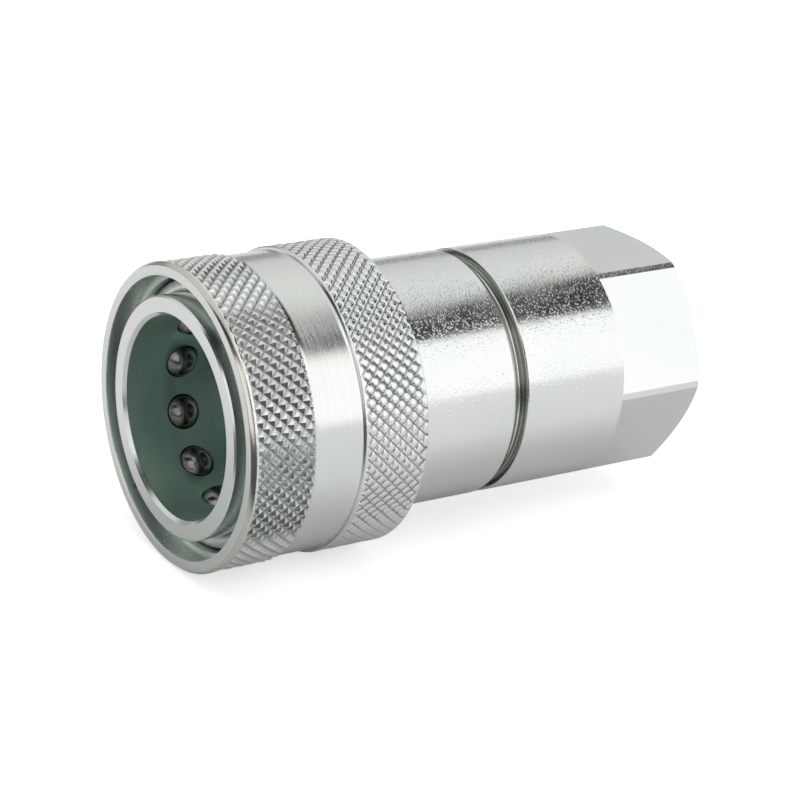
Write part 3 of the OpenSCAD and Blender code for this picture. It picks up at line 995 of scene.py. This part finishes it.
@dataclass
class HoseAdapter:
    """The rear adapter: neck of the joint groove, round body, hex end and threaded hose port."""

    body_r: float = BODY_R
    boss_x: float = 33.0
    boss_r: float = 13.0
    boss_chamfer: float = 0.6
    edge_break: float = 0.05
    seal_groove_x: float = 34.3
    seal_groove_end_x: float = 36.5
    seal_groove_r: float = 11.5
    joint_x: float = JOINT_X
    shoulder_x: float = SHOULDER_X
    shoulder_round: float = 0.16
    neck_r: float = NECK_R
    neck_fillet: float = 0.06
    ridge_height: float = 0.13
    ridge_width: float = 0.11
    ridge_shift: float = 0.05
    hex_x: float = 55.0
    hex_af: float = 27.0
    length_end: float = LENGTH
    rear_face_r: float = 13.45
    chamfer_angle: float = 30.0
    port_r: float = 9.32
    port_chamfer: float = 1.0
    port_x: float = 52.05
    passage_r: float = 8.5
    bowl_r: float = 10.7
    guide_seat_x: float = 41.5
    circlip_x: float = 37.2
    circlip_end_x: float = 38.45
    circlip_depth: float = 0.6
    thread_pitch: float = 1.814
    thread_depth: float = 1.16
    thread_flat: float = 0.18
    thread_steps: int = 20
    flat_columns: int = 24
    corner_columns: int = 4

    def angles(self) -> np.ndarray:
        """Angles of the columns, with one exactly on each edge between a flat and a corner.

        The flat's half angle is the arc cosine of half the size across flats over the body radius.
        """
        half = math.degrees(math.acos(self.hex_af / 2 / self.body_r))
        flat = np.linspace(-half, half, self.flat_columns, endpoint=False)
        corner = np.linspace(half, 60.0 - half, self.corner_columns, endpoint=False)
        sector = np.concatenate([flat, corner])
        return np.radians((np.arange(6)[:, None] * 60.0 + 30.0 + sector[None, :]).reshape(-1))

    def hexagon(self, angle: np.ndarray) -> np.ndarray:
        """Distance of the hex end's surface: the flat's plane, or the round body if nearer."""
        from_flat = (np.degrees(angle) % 60.0) - 30.0
        return np.minimum(self.body_r, self.hex_af / 2 / np.cos(np.radians(from_flat)))

    def thread(self, x: np.ndarray, angle: np.ndarray) -> np.ndarray:
        """Distance of the port's thread: a rounded triangle wave of x over pitch less the turn.

        The groove fades out over its last turn, and the mouth's chamfer cuts it at the face.
        """
        wave = zigzag(x / self.thread_pitch - angle / (2 * math.pi))
        flank = np.clip((wave - self.thread_flat) / (1.0 - 2 * self.thread_flat), 0.0, 1.0)
        form = 0.6 * flank + 0.4 * flank * flank * (3.0 - 2.0 * flank)
        fade = np.clip((x - self.port_x) / self.thread_pitch, 0.0, 1.0)
        mouth = self.port_r + self.port_chamfer - (self.length_end - x)
        return np.maximum(self.port_r + self.thread_depth * form * fade, mouth)

    def build(self) -> None:
        """Builds the adapter's mesh and ties it to the coupler body.

        A low ridge, a bell curve of x, runs round the floor of the joint groove. The flats end in
        a cone, whose edge on each flat is where the cone has come in to the flat's distance.
        """
        angle = self.angles()
        one = np.ones_like(angle)
        hexagon = self.hexagon(angle)
        end = self.length_end
        chamfer_x = end - (hexagon - self.rear_face_r) * math.tan(math.radians(self.chamfer_angle))
        groove = np.linspace(self.joint_x, self.shoulder_x, 27)[1:-1]
        middle = (self.joint_x + self.shoulder_x) / 2 + self.ridge_shift
        ridge = self.ridge_height * np.exp(-(((groove - middle) / self.ridge_width) ** 2))
        flat_x = self.hex_x + 0.04
        down = self.rear_face_r - hexagon
        rows = [
            (self.boss_x, self.bowl_r + 0.1),
            (self.boss_x, self.boss_r - self.boss_chamfer),
            (self.boss_x + self.boss_chamfer, self.boss_r),
            (self.seal_groove_x - self.edge_break, self.boss_r),
            (self.seal_groove_x, self.boss_r - self.edge_break),
            (self.seal_groove_x, self.seal_groove_r),
            (self.seal_groove_end_x, self.seal_groove_r),
            (self.seal_groove_end_x, self.boss_r - self.edge_break),
            (self.seal_groove_end_x + self.edge_break, self.boss_r),
            (self.joint_x - 0.8, self.boss_r),
            (self.joint_x - 0.6, self.boss_r - self.boss_chamfer),
            (self.joint_x, self.boss_r - self.boss_chamfer),
            (self.joint_x, self.neck_r),
            *zip(groove, self.neck_r + ridge),
            (self.shoulder_x, self.neck_r + self.neck_fillet),
            (self.shoulder_x, self.body_r - self.shoulder_round),
            (self.shoulder_x + self.edge_break, self.body_r - self.edge_break),
            (self.shoulder_x + self.shoulder_round, self.body_r),
            *((x, self.body_r) for x in np.linspace(self.shoulder_x + 1.0, self.hex_x, 12)),
            (self.hex_x, hexagon + (self.body_r - hexagon) * 0.04),
            (flat_x, hexagon),
            *((flat_x + (chamfer_x - flat_x) * t, hexagon) for t in np.linspace(0.1, 1.0, 9)),
            *((chamfer_x + (end - chamfer_x) * t, hexagon + down * t) for t in (0.3, 0.7, 1.0)),
            (end, self.rear_face_r - 0.8),
            (end, self.rear_face_r - 1.8),
        ]
        count = int((end - self.port_x) / self.thread_pitch * self.thread_steps)
        rows += [(x * one, self.thread(x * one, angle)) for x in np.linspace(end, self.port_x, count)]
        rows += [
            (self.port_x - 0.5, self.passage_r),
            (self.guide_seat_x + 4.0, self.passage_r),
            (self.guide_seat_x, self.passage_r),
            (self.guide_seat_x, self.bowl_r),
            (self.circlip_end_x, self.bowl_r),
            (self.circlip_end_x, self.bowl_r + self.circlip_depth),
            (self.circlip_x, self.bowl_r + self.circlip_depth),
            (self.circlip_x, self.bowl_r),
            (self.boss_x + 0.1, self.bowl_r),
        ]
        x = np.stack([one * place for place, _ in rows])
        r = np.stack([one * radius for _, radius in rows])
        piece = turned(x, r, angle).to_object("hex_adapter", crease=24.0)
        mount(piece, ADAPTER_ZINC, "coupler_body", "adapter_zinc", "rear_adapter")


@dataclass
class CoilSpring:
    """A compression spring of round wire, wound round the axis between two seats."""

    name: str
    node: str
    body: str
    joint: str
    wire: float
    middle_r: float
    turns: float
    front_seat: float
    rear_seat: float
    travel: float
    dead: float = 0.75
    gap: float = 0.03
    steps: int = 48
    sides: int = 18

    def build(self) -> None:
        """Sweeps the wire and ties it to its body.

        The wire's centre goes round the axis at one distance. It rises by one wire a turn in the
        dead turns at both ends, and evenly in between.
        """
        t = np.linspace(0.0, self.turns, round(self.turns * self.steps) + 1)
        low, high = self.front_seat + self.gap, self.rear_seat - self.gap
        rise = self.dead * self.wire
        marks = [0.0, self.dead, self.turns - self.dead, self.turns]
        start, stop = low + self.wire / 2, high - self.wire / 2
        x = np.interp(t, marks, [start, start + rise, stop - rise, stop])
        turn = 2 * math.pi * t
        outward = np.stack([0 * t, np.cos(turn), np.sin(turn)], axis=1)
        centre = outward * self.middle_r + np.stack([x, 0 * t, 0 * t], axis=1)
        wire = facing_out(swept_wire(centre, outward, self.wire / 2, self.sides))
        piece = wire.to_object(self.name, crease=40.0)
        mount(piece, SPRING_STEEL, self.body, "spring_steel", self.node)
        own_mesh(piece)


# ---------------------------------------------------------------- studio


@dataclass(frozen=True)
class Studio:
    """Floor, light and camera round the coupler.

    A panel is (share of half a turn round the axis, grey). The dark card's two edges are angles
    in degrees at the lean card_lean, and skew is how fast each moves with the lean. A lean, also
    of the patch, is the part of a look that runs along the axis. Places on the floor, of the
    apron and the glow, are in millimetres.
    """

    aim: tuple[float, float, float] = (31.440, -1.129, -2.200)
    distance: float = 355.2
    heading: float = 34.739
    elevation: float = 22.857
    roll: float = 5.022
    lens: float = 129.318
    sensor: float = 36.0
    clip: Span = (0.01, 20.0)
    floor_size: float = 6.0
    floor_z: float = -18.7
    floor_tone: Colour = (0.8, 0.8, 0.8)
    floor_white: float = 0.6
    apron_tone: Colour = (0.12, 0.12, 0.12)
    apron_y: Span = (-40.0, -22.0)
    apron_x: Span = (2.0, 13.0)
    glow: float = 0.22
    glow_y: Span = (14.0, 40.0)
    panels: tuple[Span, ...] = (
        (0.0, 0.6),
        (0.02, 0.35),
        (0.08, 0.35),
        (0.11, 0.72),
        (0.35, 0.92),
        (0.55, 0.84),
        (0.6, 1.28),
        (0.975, 1.28),
        (1.0, 0.95),
    )
    card_lean: float = 0.571
    card_low: float = 83.5
    card_low_skew: float = 255.0
    card_high: float = 120.7
    card_high_skew: float = 58.0
    card_tone: Colour = (0.03, 0.032, 0.035)
    patch_far: Span = (-0.5, -0.4)
    patch_near: Span = (-0.2, -0.05)
    patch_turn: Span = (128.0, 140.0)
    overhead: Colour = (1.0, 1.0, 0.955)

    def place_camera(self) -> None:
        """Puts the camera at its heading, elevation and roll, looking at the aim point."""
        data = bpy.data.cameras.new("camera")
        data.lens = self.lens
        data.sensor_width = self.sensor
        data.clip_start, data.clip_end = self.clip
        camera = bpy.data.objects.new("camera", data)
        heading, rise = math.radians(self.heading), math.radians(self.elevation)
        level = Vector((math.sin(heading), math.cos(heading), 0.0))
        ahead = level * math.cos(rise) - Vector((0.0, 0.0, math.sin(rise)))
        side = Vector((math.cos(heading), -math.sin(heading), 0.0))
        lift = side.cross(ahead)
        roll = math.radians(self.roll)
        right = side * math.cos(roll) + lift * math.sin(roll)
        up = right.cross(ahead)
        turn = Matrix((right, up, -ahead)).transposed()
        place = (Vector(self.aim) - ahead * self.distance) * MM
        camera.matrix_world = Matrix.Translation(place) @ turn.to_4x4()
        bpy.context.scene.collection.objects.link(camera)
        bpy.context.scene.camera = camera

    def lay_floor(self) -> None:
        """Lays a large pale floor under the sleeve, which shines enough to look white.

        The coupler's own reflections see two things more: a dark apron on the camera's side of
        the nose, and a weak glow that grows with the distance from the axis.
        """
        half = self.floor_size / 2
        height = self.floor_z * MM
        sides = [(-half, -half), (half, -half), (half, half), (-half, half)]
        corners = [(x, y, height) for x, y in sides]
        mesh = bpy.data.meshes.new("floor")
        mesh.from_pydata(corners, [], [(0, 1, 2, 3)])
        floor = bpy.data.objects.new("floor", mesh)
        material = bpy.data.materials.new("floor_paint")
        material.use_nodes = True
        bench = Bench(material.node_tree)
        shader = material.node_tree.nodes["Principled BSDF"]
        shader.inputs["Roughness"].default_value = 0.8
        shader.inputs["Specular IOR Level"].default_value = 0.1
        shader.inputs["Emission Color"].default_value = (1.0, 1.0, 1.0, 1.0)
        seen = bench.put("LightPath").outputs["Is Camera Ray"]
        spot = bench.put("SeparateXYZ", {0: bench.put("TexCoord").outputs["Object"]}).outputs
        far, near = (place * MM for place in self.apron_y)
        front = bench.span(spot[1], far, near, 1.0, 0.0)
        full, gone = (place * MM for place in self.apron_x)
        left = bench.span(spot[0], full, gone, 1.0, 0.0)
        apron = bench.times(bench.times(front, left), bench.less(1.0, seen))
        bench.feed(shader.inputs["Base Color"], bench.mix(apron, self.floor_tone, self.apron_tone))
        inner, outer = (place * MM for place in self.glow_y)
        glow = bench.span(bench.math("ABSOLUTE", spot[1]), inner, outer, 0.0, self.glow)
        glow = bench.times(glow, bench.less(1.0, apron))
        white = bench.plus(bench.times(seen, self.floor_white), glow)
        bench.feed(shader.inputs["Emission Strength"], white)
        mesh.materials.append(material)
        bpy.context.scene.collection.objects.link(floor)

    def light(self) -> None:
        """Surrounds the coupler with a soft studio sky of bright, grey and dark panels.

        The panels are bands of the angle round the coupler's axis, and fade to a soft grey near
        the axis itself. The dark card overhead is a wedge, whose edges move with the lean of the
        look along the axis. A second dark patch stands low on the camera's side, turned a little
        towards the socket. Light from above is a little warm. What the camera sees directly is a
        plain white backdrop.
        """
        world = bpy.data.worlds.new("studio")
        world.use_nodes = True
        bpy.context.scene.world = world
        bench = Bench(world.node_tree)
        back = world.node_tree.nodes["Background"]
        split = bench.put("SeparateXYZ", {0: bench.put("TexCoord").outputs["Generated"]}).outputs
        turn = bench.math("DEGREES", bench.math("ARCTAN2", split[2], split[1]))
        panels = bench.ramp(bench.math("DIVIDE", turn, 180.0, clamp=True), self.panels)
        lean = bench.less(self.card_lean, bench.math("ABSOLUTE", split[0]))
        low = bench.plus(self.card_low, bench.times(lean, self.card_low_skew))
        high = bench.plus(self.card_high, bench.times(lean, self.card_high_skew))
        past_low = bench.span(bench.less(turn, low), -1.5, 1.5)
        past_high = bench.span(bench.less(turn, high), -1.0, 1.0)
        card = bench.math("SUBTRACT", past_low, past_high, clamp=True)
        around = bench.mix(card, panels, self.card_tone)
        aside = bench.times(
            bench.span(split[0], *self.patch_far), bench.span(split[0], *self.patch_near, 1.0, 0.0)
        )
        patch = bench.times(aside, bench.span(turn, *self.patch_turn))
        around = bench.mix(patch, around, self.card_tone)
        end = bench.span(bench.math("ABSOLUTE", split[0]), 0.8, 0.96)
        around = bench.mix(end, around, bench.span(split[2], -0.1, 0.7, 0.45, 0.9))
        around = bench.mix(bench.span(split[2], 0.2, 0.8), around, self.overhead, "MULTIPLY")
        seen = bench.put("LightPath").outputs["Is Camera Ray"]
        bench.feed(back.inputs["Color"], bench.mix(seen, around, (1.0, 1.0, 1.0)))
        bpy.context.scene.view_settings.view_transform = "Standard"

    def build(self) -> None:
        """Makes the camera, floor and light."""
        self.place_camera()
        self.lay_floor()
        self.light()
        LOG.info("studio is up")


def main() -> None:
    """Builds the studio and every sub-assembly in order."""
    logging.basicConfig(level=logging.INFO, format="%(message)s")
    Studio().build()
    LockingSleeve().build()
    repaint("front_body", BODY_ZINC)
    HoseAdapter().build()
    repaint("sleeve_stop_ring", RING_STEEL)
    for number in range(1, 13):
        repaint(f"lock_ball_{number:02d}", BALL_STEEL)
    for node in ("probe_seal", "joint_seal", "poppet_seal"):
        repaint(node, SEAL_RUBBER)
    repaint("backup_ring", BACKUP_PLASTIC)
    repaint("valve_poppet", VALVE_STEEL)
    repaint("valve_guide", GUIDE_STEEL)
    repaint("guide_circlip", CIRCLIP_STEEL)
    CoilSpring(
        name="sleeve_coil",
        node="sleeve_spring",
        body="spring_turn",
        joint="sleeve_slide",
        wire=1.1,
        middle_r=15.6,
        turns=4.25,
        front_seat=11.1,
        rear_seat=22.6,
        travel=6.5,
    ).build()
    CoilSpring(
        name="poppet_coil",
        node="poppet_spring",
        body="coupler_body",
        joint="poppet_slide",
        wire=0.9,
        middle_r=5.2,
        turns=3.5,
        front_seat=29.6,
        rear_seat=38.5,
        travel=5.5,
    ).build()


if __name__ == "__main__":
    main()
